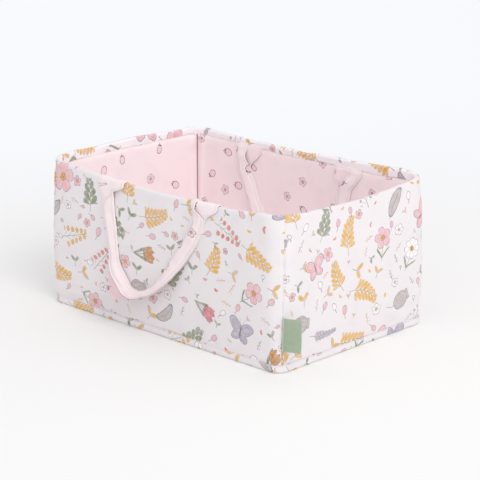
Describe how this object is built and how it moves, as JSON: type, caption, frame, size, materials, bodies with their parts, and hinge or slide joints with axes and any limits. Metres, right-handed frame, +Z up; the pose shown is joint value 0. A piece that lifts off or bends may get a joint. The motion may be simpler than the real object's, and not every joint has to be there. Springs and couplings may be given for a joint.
{
  "type": "diaper caddy",
  "caption": "Open-top rectangular fabric caddy with stiffened lined walls, a bound bottom edge, a label tab and hanging strap handles.",
  "frame": {"origin": "centre of the flat underside of the base", "axes": "+X along the long walls, +Z up, the front long wall with the handle that hangs outside faces -Y"},
  "size_m": [0.4108, 0.2793, 0.18],
  "materials": {
    "outer_fabric": "matt printed cotton",
    "lining_fabric": "matt printed cotton, pink",
    "binding_fabric": "matt printed cotton strip",
    "strap_fabric": "matt printed cotton, folded and topstitched",
    "stiffener": "needled felt and foam sheet",
    "base_board": "stiff fibre board",
    "label_ribbon": "woven green ribbon"
  },
  "bodies": {
    "tub": {"outer_front": "outer_fabric", "outer_right": "outer_fabric", "outer_rear": "outer_fabric", "outer_left": "outer_fabric", "stiffener_front": "stiffener", "stiffener_right": "stiffener", "stiffener_rear": "stiffener", "stiffener_left": "stiffener", "lining_front": "lining_fabric", "lining_right": "lining_fabric", "lining_rear": "lining_fabric", "lining_left": "lining_fabric", "base_outer": "outer_fabric", "base_board": "base_board", "base_lining": "lining_fabric", "base_binding": "binding_fabric", "front_handle_end_left": "strap_fabric", "front_handle_end_right": "strap_fabric", "rear_handle_end_left": "strap_fabric", "rear_handle_end_right": "strap_fabric", "label_tab": "label_ribbon"},
    "front_handle": {"front_handle": "strap_fabric"},
    "rear_handle": {"rear_handle": "strap_fabric"}
  },
  "joints": [
    {"name": "front_handle_swing", "type": "hinge", "parent": "tub", "child": "front_handle", "pos_m": [0, -0.12725, 0.17403], "axis": [-1, 0, 0], "range_deg": [0, 180]},
    {"name": "rear_handle_swing", "type": "hinge", "parent": "tub", "child": "rear_handle", "pos_m": [0, 0.11462, 0.16578], "axis": [-1, 0, 0], "range_deg": [0, 180]}
  ]
}
